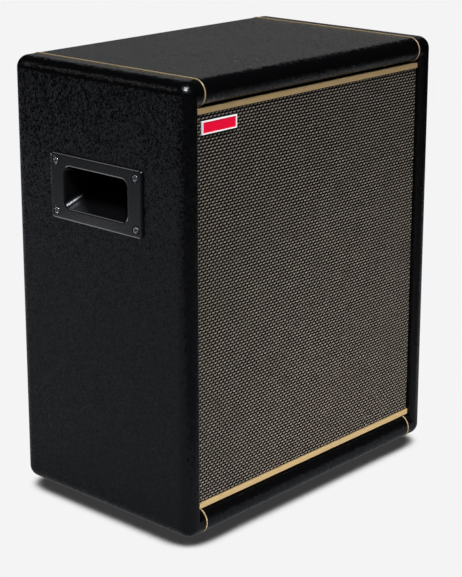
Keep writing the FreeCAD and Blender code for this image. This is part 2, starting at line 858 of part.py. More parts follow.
nodes["tweeter_dome"] = tweeter_part([
    (dome_in, dome_back), (dome_in, former_reach), (dome_radius, former_reach), (dome_radius, dome_back),
    (dome_radius + dome_lip, dome_back), (dome_radius + dome_lip, dome_front), (dome_radius, dome_front),
    cap_arc(dome_radius, dome_rise, dome_front), dome_top, (dome_middle, (dome_in, dome_back))])
pole_face = motor_front + dome_clearance
slot_back = former_reach + 2 * dome_clearance
motor_back = motor_front + motor_depth
nodes["tweeter_motor"] = tweeter_part([
    (0, pole_face), (dome_in - dome_clearance, pole_face), (dome_in - dome_clearance, slot_back),
    (dome_radius + dome_clearance, slot_back), (dome_radius + dome_clearance, pole_face),
    (throat_radius, pole_face), (throat_radius, motor_front), (motor_radius, motor_front),
    (motor_radius, motor_back), (0, motor_back)])
driver_screws = screws(driver_screw_length, woofer_places + tweeter_places, V(0, -1, 0))
nodes["driver_screws"] = driver_screws

# Baffle board, with the seats of both drivers

baffle = block((-core_x, core_x), (y_baffle, y_baffle_back), (inside_low, inside_high))
for hole, rim, depth, z in ((cutout_radius, woofer_flange_radius, woofer_flange, woofer_z),
                            (tweeter_cutout, tweeter_flange_radius, tweeter_flange, tweeter_z)):
    baffle = baffle.cut(rod_y(hole, 0, far_y, z))
    baffle = baffle.cut(rod_y(rim + rebate_gap, 0, (far_y[0], y_baffle + depth), z))
nodes["baffle_board"] = one_solid(baffle.cut(woofer_holes).cut(tweeter_holes))

# Port tubes

port_out = port_radius + port_wall
port_rim = port_radius + port_flange_width
mouth_middle = (port_radius + port_flange * (1 - math.sqrt(0.5)), port_flange * math.sqrt(0.5))
ports = [turned([(port_radius, -port_length), (port_out, -port_length), (port_out, 0), (port_rim, 0),
                 (port_rim, port_flange / 2), (port_rim - port_flange / 2, port_flange),
                 (port_radius + port_flange, port_flange), (mouth_middle, (port_radius, 0))],
                x, y_rear, port_z) for x in (-port_x, port_x)]
nodes["port_tubes"] = Part.makeCompound(ports)

# Amplifier: plate, chassis and what the plate carries

plate_x = about(0, plate_width)
plate_z = about(amp_z, plate_height)
upper_z = plate_z[1] - upper_row_drop
lower_z = plate_z[0] + lower_row_rise
plate_screw_xs = [plate_x[0] + plate_screw_inset, 0, plate_x[1] - plate_screw_inset]
plate_screw_zs = [plate_z[0] + plate_screw_inset, plate_z[1] - plate_screw_inset]
plate_places = [V(x, y_plate, z) for x in plate_screw_xs for z in plate_screw_zs]
plate_places += [V(x, y_plate, amp_z) for x in (plate_screw_xs[0], plate_screw_xs[2])]
plate_holes = screw_holes(plate_screw_length, plate_places, V(0, 1, 0))

window_width = rocker_width + 2 * rocker_side_gap
window_length = rocker_length + 2 * rocker_end_gap
frame_width = window_width + 2 * rocker_frame_wall
frame_length = window_length + 2 * rocker_frame_wall
row_widths = [inlet_width + 2 * inlet_flange_width, frame_width + 2 * rocker_frame_flange_width,
              button_housing, button_housing]
row_gap = (plate_width - inlet_margin - button_margin - sum(row_widths)) / (len(row_widths) - 1)
row_starts = [plate_x[0] + inlet_margin + sum(row_widths[:i]) + i * row_gap for i in range(len(row_widths))]
inlet_x, rocker_x, lift_x, boost_x = [start + width / 2 for start, width in zip(row_starts, row_widths)]
volume_x = plate_x[1] - volume_margin
jack_xs = [volume_x - jack_pitch * (i + 1) for i in range(jack_count)]
inlet_size = (inlet_width + 2 * hole_clearance, inlet_height + 2 * hole_clearance)
plate = block(plate_x, (y_rear, y_plate), plate_z)
plate = plate.makeFillet(plate_corner, edges_along(plate, V(0, 1, 0)))
plate = plate.cut(rod_y(pot_bushing_radius + hole_clearance, volume_x, far_y, upper_z))
for x in jack_xs:
    plate = plate.cut(rod_y(jack_bushing_radius + hole_clearance, x, far_y, upper_z))
for x in (boost_x, lift_x):
    plate = plate.cut(rod_y(button_radius + button_clearance, x, far_y, lower_z))
plate = plate.cut(block(about(inlet_x, inlet_size[0]), far_y, about(lower_z, inlet_size[1])))
plate = plate.cut(block(about(rocker_x, frame_width + 2 * hole_clearance), far_y,
                        about(lower_z, frame_length + 2 * hole_clearance)))
nodes["amp_plate"] = one_solid(plate.cut(plate_holes))

chassis_x = about(0, plate_width - 2 * (plate_border + chassis_gap))
chassis_z = about(amp_z, plate_height - 2 * (plate_border + chassis_gap))
chassis = block(chassis_x, (y_chassis, y_rear), chassis_z)
hollow = block((chassis_x[0] + chassis_wall, chassis_x[1] - chassis_wall),
               (y_chassis + chassis_wall, far_y[1]),
               (chassis_z[0] + chassis_wall, chassis_z[1] - chassis_wall))
chassis = chassis.cut(hollow)
y_studs = y_chassis + chassis_wall + stud_height
for x in (chassis_x[0] + stud_inset, chassis_x[1] - stud_inset):
    for z in (chassis_z[0] + stud_inset, chassis_z[1] - stud_inset):
        chassis = chassis.fuse(rod_y(stud_radius, x, (y_chassis + chassis_wall / 2, y_studs), z))
nodes["amp_chassis"] = one_solid(chassis.removeSplitter())

y_board = y_studs + circuit_board_thickness
nodes["circuit_board"] = block((chassis_x[0] + circuit_board_margin, chassis_x[1] - circuit_board_margin),
                               (y_studs, y_board),
                               (chassis_z[0] + circuit_board_margin, chassis_z[1] - circuit_board_margin))
sink_right = chassis_x[1] - heat_sink_margin_x
sink_low = chassis_z[0] + heat_sink_margin_z
sink_x = (sink_right - heat_sink_width, sink_right)
sink_z = (sink_low, sink_low + heat_sink_height)
sink_parts = [block(sink_x, (y_board, y_board + heat_sink_base), sink_z)]
fin_pitch = (heat_sink_width - heat_sink_fin) / (heat_sink_fins - 1)
for i in range(heat_sink_fins):
    left = sink_x[0] + i * fin_pitch
    fin_y = (y_board + heat_sink_base / 2, y_board + heat_sink_base + heat_sink_fin_height)
    sink_parts.append(block((left, left + heat_sink_fin), fin_y, sink_z))
nodes["heat_sink"] = one_solid(joined(sink_parts))
ring_round = transformer_round * (1 - math.sqrt(0.5))
transformer_x = chassis_x[0] + transformer_margin_x + transformer_radius
transformer_z = chassis_z[1] - transformer_margin_z - transformer_radius
nodes["power_transformer"] = turned([
    (transformer_bore, 0), (transformer_radius, 0),
    (transformer_radius, transformer_height - transformer_round),
    ((transformer_radius - ring_round, transformer_height - ring_round),
     (transformer_radius - transformer_round, transformer_height)),
    (transformer_bore, transformer_height)], transformer_x, y_board, transformer_z)

# Volume control

pot_back = -plate_thickness - pot_depth
pot_bottom = pot_back + pot_floor
pot_bore = shaft_radius + shaft_clearance
nodes["volume_pot"] = turned([
    (pot_bore, bushing_reach), (pot_bushing_radius, bushing_reach), (pot_bushing_radius, -plate_thickness),
    (pot_radius, -plate_thickness), (pot_radius, pot_back), (0, pot_back), (0, pot_bottom),
    (pot_bore, pot_bottom)], volume_x, y_plate, upper_z)
shaft_y = (y_plate + pot_bottom + shaft_clearance, y_plate + shaft_reach)
nodes["volume_shaft"] = rod_y(shaft_radius, volume_x, shaft_y, upper_z)
knob_top = knob_stand_off + knob_height
knob_bore = shaft_radius + shaft_clearance
knob = turned([
    (knob_skirt_radius, knob_stand_off), (knob_radius, knob_stand_off),
    (knob_top_radius, knob_top - knob_pointer), (knob_top_radius - knob_pointer, knob_top), (0, knob_top),
    (0, shaft_reach + shaft_clearance),
    (knob_bore, shaft_reach + shaft_clearance), (knob_bore, knob_stand_off + knob_skirt_depth),
    (knob_skirt_radius, knob_stand_off + knob_skirt_depth)], volume_x, y_plate, upper_z)
flute_places = ring_places(volume_x, y_plate, upper_z, knob_radius, knob_flutes, math.pi / knob_flutes)
flutes = [rod_y(knob_flute_radius, place.x, far_y, place.z) for place in flute_places]
pointer = block(about(volume_x, knob_pointer), (y_plate + knob_top - knob_pointer / 2, far_y[1]),
                (upper_z + knob_skirt_radius, far_z[1]))
nodes["volume_knob"] = one_solid(knob.cut(Part.makeCompound(flutes)).cut(pointer))

# Input jacks and the nuts on the plate

jacks = []
nut_y = (y_plate, y_plate + nut_height)
nuts = [hexagon_y(pot_nut_flats, volume_x, nut_y, upper_z).cut(
    rod_y(pot_bushing_radius + screw_clearance, volume_x, far_y, upper_z))]
for x in jack_xs:
    body = block(about(x, jack_body), (y_rear - jack_depth, y_rear), about(upper_z, jack_body))
    bushing = rod_y(jack_bushing_radius, x, (y_rear - jack_depth / 2, y_plate + bushing_reach), upper_z)
    bore = rod_y(jack_bore_radius, x, (y_rear - jack_depth + jack_floor, far_y[1]), upper_z)
    jacks.append(one_solid(joined([body, bushing]).cut(bore)))
    hole = rod_y(jack_bushing_radius + screw_clearance, x, far_y, upper_z)
    nuts.append(hexagon_y(jack_nut_flats, x, nut_y, upper_z).cut(hole))
nodes["input_jacks"] = Part.makeCompound(jacks)
nodes["control_nuts"] = Part.makeCompound([one_solid(nut) for nut in nuts])

# Boost and lift buttons

button_back = button_tail + button_travel + button_clearance
stem_back = button_tail + button_stem
housings = []
for name, x in (("boost_button", boost_x), ("lift_button", lift_x)):
    cap = rod_y(button_radius, x, (y_plate - button_tail, y_plate + button_reach), lower_z)
    cap = cap.makeFillet(button_round, edges_in(cap, y=y_plate + button_reach))
    stem = rod_y(button_stem_radius, x, (y_plate - stem_back, y_plate - button_tail / 2), lower_z)
    nodes[name] = one_solid(joined([cap, stem]))
    floor = y_plate - stem_back - button_travel - button_clearance
    housing = block(about(x, button_housing), (floor - button_housing_wall, y_rear),
                    about(lower_z, button_housing))
    cap_room = rod_y(button_radius + button_clearance, x, (y_plate - button_back, far_y[1]), lower_z)
    stem_room = rod_y(button_stem_radius + button_clearance / 2, x, (floor, far_y[1]), lower_z)
    housing = housing.cut(cap_room).cut(stem_room)
    housings.append(one_solid(housing))
nodes["switch_housings"] = Part.makeCompound(housings)

# Mains inlet

flange = block(about(inlet_x, inlet_width + 2 * inlet_flange_width), (y_plate, y_plate + inlet_flange),
               about(lower_z, inlet_height + 2 * inlet_flange_width))
body = block(about(inlet_x, inlet_width), (y_plate - inlet_depth, y_plate + inlet_flange / 2),
             about(lower_z, inlet_height))
cavity_x = about(inlet_x, inlet_width - 2 * inlet_wall)
cavity_z = about(lower_z, inlet_height - 2 * inlet_wall)
inlet_floor = y_plate - inlet_cavity_depth
cavity = block(cavity_x, (inlet_floor, far_y[1]), cavity_z)
upper_edges = [edge for x in cavity_x for edge in edges_in(cavity, x=x, z=cavity_z[1])]
cavity = cavity.makeChamfer(inlet_bevel, upper_edges)
nodes["mains_inlet"] = one_solid(joined([flange, body]).cut(cavity))
pin_places = [(inlet_x, lower_z + pin_offset)]
pin_places += [(inlet_x + side * pin_spread, lower_z - pin_offset) for side in (-1, 1)]
pin_y = (inlet_floor, inlet_floor + pin_length)
nodes["inlet_pins"] = Part.makeCompound([
    block(about(x, pin_width), pin_y, about(z, pin_height)) for x, z in pin_places])

# Power switch

pivot_y = y_plate - rocker_pivot_depth
flange = block(about(rocker_x, frame_width + 2 * rocker_frame_flange_width),
               (y_plate, y_plate + rocker_frame_flange),
               about(lower_z, frame_length + 2 * rocker_frame_flange_width))
body = block(about(rocker_x, frame_width),
             (y_plate - rocker_frame_depth, y_plate + rocker_frame_flange / 2),
             about(lower_z, frame_length))
window = block(about(rocker_x, window_width), (y_plate - rocker_frame_depth + rocker_frame_floor, far_y[1]),
               about(lower_z, window_length))
pin_hole_length = window_width + 2 * (rocker_pin_length + rocker_side_gap)
pin_hole = Part.makeCylinder(rocker_pin_radius + shaft_clearance, pin_hole_length,
                             V(rocker_x - pin_hole_length / 2, pivot_y, lower_z), V(1, 0, 0))
nodes["power_switch_frame"] = one_solid(joined([flange, body]).cut(window).cut(pin_hole))
half = rocker_length / 2
section = [(half, rocker_end), (0, rocker_waist), (-half, rocker_end),
           (-half, -rocker_waist), (0, -rocker_belly), (half, -rocker_waist)]
corners = [V(rocker_x - rocker_width / 2, pivot_y + out, lower_z + along) for along, out in section]
rocker = Part.Face(Part.makePolygon(corners + corners[:1])).extrude(V(rocker_width, 0, 0))
pin_length_all = rocker_width + 2 * (rocker_pin_length + rocker_side_gap)
rocker_pin = Part.makeCylinder(rocker_pin_radius, pin_length_all,
                               V(rocker_x - pin_length_all / 2, pivot_y, lower_z), V(1, 0, 0))
rocker = one_solid(joined([rocker, rocker_pin]))
rocker.rotate(V(rocker_x, pivot_y, lower_z), V(1, 0, 0), -rocker_tilt)
nodes["power_rocker"] = rocker

# Rear panel, battens and the screws of the rear

rear_x = core_x - panel_gap
rear_z = (inside_low + panel_gap, inside_high - panel_gap)
side_screw_x = core_x - batten / 2
screw_low = inside_low + batten / 2
screw_high = inside_high - batten / 2
screw_pitch = (screw_high - screw_low) / (panel_screw_rows - 1)
panel_places = [V(x, y_rear, screw_low + i * screw_pitch)
                for x in (-side_screw_x, side_screw_x) for i in range(panel_screw_rows)]
panel_places += [V(0, y_rear, z) for z in (screw_low, screw_high)]
panel_holes = screw_holes(panel_screw_length, panel_places, V(0, 1, 0))
rear_panel = block((-rear_x, rear_x), (y_rear_inside, y_rear), rear_z)
rear_panel = rear_panel.cut(block(about(0, plate_width - 2 * plate_border), far_y,
                                  about(amp_z, plate_height - 2 * plate_border)))
for x in (-port_x, port_x):
    rear_panel = rear_panel.cut(rod_y(port_out + port_fit, x, far_y, port_z))
nodes["rear_panel"] = one_solid(rear_panel.cut(panel_holes).cut(plate_holes))
battens = batten_frame((y_baffle_back, y_baffle_back + batten))
rear_battens = batten_frame((y_rear_inside - batten, y_rear_inside))
battens += [one_solid(strip.cut(panel_holes)) for strip in rear_battens]
nodes["panel_battens"] = Part.makeCompound(battens)
panel_screws = screws(panel_screw_length, panel_places, V(0, 1, 0))
plate_screws = screws(plate_screw_length, plate_places, V(0, 1, 0))
nodes["rear_screws"] = Part.makeCompound(panel_screws.Solids + plate_screws.Solids)

# Leads from the amplifier to the drivers: each pair is two wires side by side

motor_y = y_baffle + motor_back
woofer_route = [(y_chassis, terminal_top + 32), (y_chassis - 28, terminal_top + 32),
                (y_chassis - 68, terminal_top + 43), (terminal_y + 15, terminal_top + 39),
                (terminal_y, terminal_top + 18), (terminal_y, terminal_top)]
tweeter_route = [(y_chassis, tweeter_z - 48), (y_chassis - 26, tweeter_z - 48),
                 (y_chassis - 66, tweeter_z - 34), (motor_y + 29, tweeter_z - 24),
                 (motor_y, tweeter_z - 24)]
leads = []
for name, route in (("woofer lead", woofer_route), ("tweeter lead", tweeter_route)):
    for x in (-lead_spread, lead_spread):
        leads.append(bent_wire([V(x, y, z) for y, z in route], name))
nodes["speaker_leads"] = Part.makeCompound(leads)

# Damping pads on the inner faces of the sides, below the handles

pad_y = (y_baffle_back + batten + pad_clear, y_rear_inside - batten - pad_clear)
pad_top = handle_z - pocket_height / 2 - pocket_wall - pad_clear
pad_x = (core_x - soft_gap - pad_thickness, core_x - soft_gap)
pad = block(pad_x, pad_y, (inside_low + pad_clear, pad_top))
nodes["damping_pads"] = Part.makeCompound([pad, mirrored_x(pad)])

os.makedirs("parts", exist_ok=True)
for name, shape in nodes.items():
    if not shape.isValid():
        print("not valid:", name)
    shape.exportStep("parts/%s.step" % name)
print(len(nodes), "nodes")
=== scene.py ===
# %% [markdown]
# # A powered guitar speaker cabinet
# The CAD model is the fixed frame of this scene: every board, screw, handle and control is already in it,
# in metres, with the front facing -Y. Here each surface gets its finish, and the soft pieces that a solid
# can only stand for, such as the woven grille cloth, are built from their threads.

# %% Load the frame
import json
import math

import bmesh
import bpy
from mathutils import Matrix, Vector


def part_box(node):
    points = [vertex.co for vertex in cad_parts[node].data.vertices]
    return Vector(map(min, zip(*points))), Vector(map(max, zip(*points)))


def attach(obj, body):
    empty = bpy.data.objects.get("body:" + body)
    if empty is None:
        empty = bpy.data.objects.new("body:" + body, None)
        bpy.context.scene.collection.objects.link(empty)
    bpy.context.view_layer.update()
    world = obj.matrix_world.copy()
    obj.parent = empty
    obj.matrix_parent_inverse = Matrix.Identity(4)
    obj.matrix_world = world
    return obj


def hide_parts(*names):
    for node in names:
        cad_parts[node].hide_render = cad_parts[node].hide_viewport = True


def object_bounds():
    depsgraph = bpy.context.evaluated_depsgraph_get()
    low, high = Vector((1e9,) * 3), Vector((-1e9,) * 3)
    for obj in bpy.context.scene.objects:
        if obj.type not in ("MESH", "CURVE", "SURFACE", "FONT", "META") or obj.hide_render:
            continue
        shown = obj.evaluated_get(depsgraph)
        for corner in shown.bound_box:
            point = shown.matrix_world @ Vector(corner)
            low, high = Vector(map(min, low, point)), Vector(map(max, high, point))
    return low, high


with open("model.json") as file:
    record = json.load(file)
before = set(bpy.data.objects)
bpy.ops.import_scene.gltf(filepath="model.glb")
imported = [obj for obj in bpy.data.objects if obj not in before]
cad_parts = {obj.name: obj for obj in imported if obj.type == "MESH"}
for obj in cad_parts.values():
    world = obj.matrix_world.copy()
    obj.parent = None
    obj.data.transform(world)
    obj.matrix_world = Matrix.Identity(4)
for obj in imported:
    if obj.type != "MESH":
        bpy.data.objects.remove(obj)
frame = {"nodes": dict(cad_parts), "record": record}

cad_box = [list(corner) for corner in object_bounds()]
nodes = frame["nodes"]
print("CAD nodes:", len(nodes), "box:", cad_box)


# %% [markdown]
# ## Small tools
# Colours are written as sRGB hex codes, as a colour picker shows them, and Cycles works in linear light,
# so one function converts them. Materials are node trees, and one function adds a node of any kind with
# its values and links. Most surfaces here differ only in the size and strength of their grain, so one
# function makes those.

# %% Colour and node tools
MM = 0.001


def linear(hex_code):
    """Linear colour of an sRGB hex code, by the curve of the sRGB standard."""
    shares = [int(hex_code[i:i + 2], 16) / 255 for i in (0, 2, 4)]
    return [s / 12.92 if s <= 0.04045 else ((s + 0.055) / 1.055) ** 2.4 for s in shares] + [1.0]


def add(tree, kind, values=None, links=None, **settings):
    """Adds one node: settings are its own choices, values go on its sockets, links come from other nodes."""
    node = tree.nodes.new("ShaderNode" + kind)
    for name, value in settings.items():
        setattr(node, name, value)
    for name, value in (values or {}).items():
        node.inputs[name].default_value = value
    for name, socket in (links or {}).items():
        tree.links.new(socket, node.inputs[name])
    return node


# %% Material tools
# Noise lies mostly between these two values.
NOISE_LOW, NOISE_HIGH = 0.3, 0.7


def material(name, values):
    """A new material with constants on its shader, and the place on the object to draw patterns by."""
    made = bpy.data.materials.new(name)
    made.use_nodes = True
    tree = made.node_tree
    shader = tree.nodes["Principled BSDF"]
    for socket, value in values.items():
        shader.inputs[socket].default_value = value
    place = add(tree, "TexCoord").outputs["Object"]
    return made, tree, shader, place


def grained(name, grain_mm, dark, light, rough, relief_mm, values, stretch=(1, 1, 1)):
    """A surface whose grain has a real size, mixes two colours, varies the gloss and stands up a little."""
    made, tree, shader, place = material(name, values)
    spread = add(tree, "Mapping", {"Scale": [s / (grain_mm * MM) for s in stretch]}, {"Vector": place})
    noise = add(tree, "TexNoise", {"Scale": 1.0, "Detail": 3.0, "Roughness": 0.6},
                {"Vector": spread.outputs[0]})
    grain = noise.outputs["Fac"]
    colour = add(tree, "Mix", {6: linear(dark), 7: linear(light)}, {0: grain}, data_type="RGBA")
    gloss = add(tree, "MapRange", {"From Min": NOISE_LOW, "From Max": NOISE_HIGH, "To Min": rough[0],
                                   "To Max": rough[1]}, {"Value": grain})
    bump = add(tree, "Bump", {"Strength": 1.0, "Distance": relief_mm * MM}, {"Height": grain})
    tree.links.new(colour.outputs[2], shader.inputs["Base Color"])
    tree.links.new(gloss.outputs[0], shader.inputs["Roughness"])
    tree.links.new(bump.outputs[0], shader.inputs["Normal"])
    return made


# %% [markdown]
# ## The camera
# The photographer stood in front of the left corner, a little above the cabinet, with a long lens. The
# place and the lens come from fitting a pinhole camera to the cabinet's edges. The view is kept upright
# by a small shift.

# %% Camera
AZIMUTH = math.radians(-47.63)
ELEVATION = math.radians(15.18)
STAND = (-1.4705, -1.34333, 0.86237)
lens = bpy.data.cameras.new("photo_lens")
lens.lens = 103.92
lens.sensor_width = 36.0
lens.shift_y = -0.12
camera = bpy.data.objects.new("photo_camera", lens)
level = math.cos(ELEVATION)
back = Vector((math.sin(AZIMUTH) * level, -math.cos(AZIMUTH) * level, math.sin(ELEVATION)))
camera.rotation_euler = back.to_track_quat("Z", "Y").to_euler()
camera.location = STAND
scene = bpy.context.scene
scene.collection.objects.link(camera)
scene.camera = camera
print("camera looks along", [round(-v, 3) for v in back])


# %% [markdown]
# ## The paper
# The cabinet is black and glossy, so it shows the room more than its own colour. In the photo the paper
# is even white and darkens only under the cabinet, where the feet leave a narrow gap. The left side
# mirrors a pale table, and the front mirrors the dark room past the table's front edge. Real light on
# real paper can't give both, as the white behind a product is usually cleaned afterwards, so the floor
# has two faces. The camera sees the white paper, with a painted shadow in the gap, found by how much of
# the sky each spot sees. The gloss sees the table: it brightens a little with distance, ends about 2 m
# away and 0.22 m in front of the cabinet, and has the cabinet's soft shadow painted on it.

# %% Paper floor
FLOOR_REACH = 30.0
PAPER = linear("f4f4f4")
scene.view_settings.view_transform = "Standard"
floor_mesh = bpy.data.meshes.new("studio_floor")
turns = ((-1, -1), (1, -1), (1, 1), (-1, 1))
floor_mesh.from_pydata([(x * FLOOR_REACH, y * FLOOR_REACH, 0) for x, y in turns], [], [(0, 1, 2, 3)])
floor = bpy.data.objects.new("studio_floor", floor_mesh)
scene.collection.objects.link(floor)

# %% The paper that the camera sees
GAP_SHADE_REACH = 0.032
GAP_SHADE_DARK = 0.045
sweep = bpy.data.materials.new("paper_sweep")
sweep.use_nodes = True
tree = sweep.node_tree
tree.nodes.clear()
# Painted shadow: the paper's white glow is dimmed where a spot sees little sky, in the gap under the cabinet.
hidden = add(tree, "AmbientOcclusion", {"Distance": GAP_SHADE_REACH}, samples=24)
gap_shade = add(tree, "MapRange", {"From Min": 0.43, "From Max": 0.73, "To Min": GAP_SHADE_DARK, "To Max": 1.0},
          {"Value": hidden.outputs["AO"]}, interpolation_type="SMOOTHSTEP")
shown = add(tree, "Emission", {"Color": PAPER}, {"Strength": gap_shade.outputs[0]})

# %% The table that the gloss mirrors
TABLE_FRONT, EDGE_SOFT = 0.22, 0.02
TABLE_LIGHT, FLOOR_LIGHT = 0.37, 0.12
SHADOW_REACH, SHADOW_DARK = 0.13, 0.72
LEFT_REAR = (-0.3, 0.3, 0)
spot = add(tree, "TexCoord").outputs["Object"]


def pool(inner, outer, near, far):
    """Light on the table that goes from one strength to another between two distances from the left rear."""
    away = add(tree, "VectorMath", {1: LEFT_REAR}, {0: spot}, operation="DISTANCE")
    fade = add(tree, "MapRange", {"From Min": inner, "From Max": outer, "To Min": near, "To Max": far},
               {"Value": away.outputs["Value"]}, interpolation_type="SMOOTHSTEP")
    return fade.outputs[0]


foot = [max(abs(cad_box[0][axis]), abs(cad_box[1][axis])) for axis in (0, 1)]
outside = add(tree, "VectorMath", links={0: spot}, operation="ABSOLUTE")
outside = add(tree, "VectorMath", {1: (*foot, 0)}, {0: outside.outputs[0]}, operation="SUBTRACT")
outside = add(tree, "VectorMath", {1: (0, 0, 0)}, {0: outside.outputs[0]}, operation="MAXIMUM")
outside = add(tree, "VectorMath", links={0: outside.outputs[0]}, operation="LENGTH")
# Painted shadow: the table's glow is dimmed near the cabinet's footprint.
shadow = add(tree, "MapRange",
             {"From Min": 0.0, "From Max": SHADOW_REACH, "To Min": SHADOW_DARK, "To Max": 1.0},
             {"Value": outside.outputs["Value"]}, interpolation_type="SMOOTHSTEP")
edge_y = -foot[1] - TABLE_FRONT
depth = add(tree, "SeparateXYZ", links={0: spot}).outputs["Y"]
table = add(tree, "MapRange", {"From Min": edge_y - EDGE_SOFT, "From Max": edge_y + EDGE_SOFT,
                               "To Min": FLOOR_LIGHT, "To Max": TABLE_LIGHT},
            {"Value": depth}, interpolation_type="SMOOTHSTEP")
for share in (pool(0.4, 1.4, 0.9, 1.25), pool(1.75, 2.1, 1.0, 0.03), shadow.outputs[0]):
    table = add(tree, "Math", links={0: table.outputs[0], 1: share}, operation="MULTIPLY")
mirrored = add(tree, "Emission", {"Color": linear("e9edf7")}, {"Strength": table.outputs[0]})
seen = add(tree, "LightPath").outputs["Is Camera Ray"]
paper = add(tree, "MixShader", links={0: seen, 1: mirrored.outputs[0], 2: shown.outputs[0]})
add(tree, "OutputMaterial", links={"Surface": paper.outputs[0]})
floor_mesh.materials.append(sweep)


# %% [markdown]
# ## The lights
# The rounded edges mirror a dark ceiling, so the room is dark, and a slightly blue softbox stands high on
# the camera's side as the key light. A wide one behind the right corner draws the sheen over the top, and
# a small one behind the left corner draws a soft line down that edge. A low one behind lights the rear,
# and a black card keeps it off the vinyl, whose edges would show it as a white line. A gridded box low in
# front lifts the lower half of the cloth and leaves no glint on the gloss.
#
# The rounded rims of the handle are thin bright lines in the photo. Two lamps with snoots, one from below
# and one from above, light nothing but the handle and its screws. Cycles does what a card or a snoot does
# by linking a lamp to a collection of objects.

# %% Dark room
world = bpy.data.worlds.new("studio_room")
scene.world = world
world.use_nodes = True
tree = world.node_tree
tree.nodes.clear()
wall = add(tree, "Background", {"Color": PAPER, "Strength": 1.0})
room = add(tree, "Background", {"Color": linear("1a1b1f"), "Strength": 1.0})
seen = add(tree, "LightPath").outputs["Is Camera Ray"]
both = add(tree, "MixShader", links={0: seen, 1: room.outputs[0], 2: wall.outputs[0]})
add(tree, "OutputWorld", links={"Surface": both.outputs[0]})


# %% Softboxes
def softbox(name, way, distance, aim, size, power, shape="RECTANGLE"):
    """An area light that faces a point from a given way; the camera doesn't see the lamp itself."""
    lamp = bpy.data.lights.new(name, "AREA")
    lamp.shape = shape
    lamp.size, lamp.size_y = size
    lamp.energy = power
    box = bpy.data.objects.new(name, lamp)
    way = Vector(way).normalized()
    box.location = Vector(aim) + way * distance
    box.rotation_euler = way.to_track_quat("Z", "Y").to_euler()
    box.visible_camera = False
    scene.collection.objects.link(box)
    print(name, "at", [round(v, 2) for v in box.location])
    return box


key = softbox("key_softbox", way=(-0.369, -0.432, 0.82), distance=3.2, aim=(-0.2, -0.13, 0.5),
              size=(0.87, 0.87), power=150.0, shape="DISK")
key.data.color = (0.94, 0.99, 1.06)
softbox("sheen_softbox", way=(0.72, 0.62, 0.34), distance=2.4, aim=(0.0, 0.0, 0.4),
        size=(2.2, 0.9), power=1.6)
behind = softbox("back_softbox", way=(0.12, 0.98, 0.0), distance=2.4, aim=(0.0, 0.0, 0.22),
                 size=(1.8, 0.4), power=30.0)
softbox("rim_softbox", way=(-0.58, 0.65, 0.49), distance=2.2, aim=(-0.22, 0.0, 0.35),
        size=(0.5, 0.3), power=0.9)
grid = softbox("grid_softbox", way=(0.05, -0.99, 0.12), distance=1.5, aim=(0.0, -0.14, 0.06),
               size=(0.9, 0.4), power=3.4)
grid.data.spread = math.radians(45)
grid.visible_glossy = False

# %% Black card and snoots
flagged = bpy.data.collections.new("flagged_off")
for subpart in frame["record"]["subparts"]:
    if subpart["material_slot"] == "vinyl":
        flagged.objects.link(nodes[subpart["node"]])
for member in flagged.collection_objects:
    member.light_linking.link_state = "EXCLUDE"
behind.light_linking.receiver_collection = flagged

handle_low, handle_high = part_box("left_handle")
rim = Vector((handle_low.x, (handle_low.y + handle_high.y) / 2, (handle_low.z + handle_high.z) / 2))
low_snoot = softbox("low_snoot", way=(-0.3, 0.65, -0.69), distance=0.32, aim=rim,
                    size=(0.18, 0.24), power=0.33)
high_snoot = softbox("high_snoot", way=(-0.45, 0.65, 0.6), distance=1.0, aim=rim,
                     size=(0.5, 0.6), power=2.0)
snooted = bpy.data.collections.new("snooted_on")
for name in ("left_handle", "handle_screws"):
    snooted.objects.link(nodes[name])
for lamp in (low_snoot, high_snoot):
    lamp.light_linking.receiver_collection = snooted


# %% [markdown]
# ## Black pebbled vinyl
# The covering is PVC on a cloth back, embossed between rollers with a leather pebble about 1.5 mm across.
# The pebbles are rounded cells with narrow valleys between them, so a cell pattern gives their shape, and
# a little noise bends their outlines. No two pebbles lie level, so each one gets a small tilt of its own
# from its cell's chance colour and mirrors another spot of the room. The valleys stay dull. The real
# pebble is near the size of a pixel here, so it is drawn a little larger, about 1.7 mm, to show.

# %% Vinyl
PEBBLE_MM, WANDER_MM, RELIEF_MM = 1.7, 1.3, 0.09
PATCH_MM = 60
VALLEY_ROUGH, CROWN_ROUGH = 0.26, 0.15
TILT = 0.14
finish = {}
vinyl, tree, shader, place = material("embossed_black_pvc", {"Specular IOR Level": 0.38})
wander = add(tree, "TexNoise", {"Scale": 0.5 / (PEBBLE_MM * MM), "Detail": 2.0}, {"Vector": place})
bent = add(tree, "VectorMath", {1: [WANDER_MM * MM] * 3}, {0: wander.outputs["Color"], 2: place},
           operation="MULTIPLY_ADD")
cells = add(tree, "TexVoronoi", {"Scale": 1 / (PEBBLE_MM * MM), "Smoothness": 0.4},
            {"Vector": bent.outputs[0]}, feature="SMOOTH_F1")
crown = add(tree, "MapRange", {"From Min": 0.1, "From Max": 0.7, "To Min": 1.0, "To Max": 0.0},
            {"Value": cells.outputs["Distance"]})
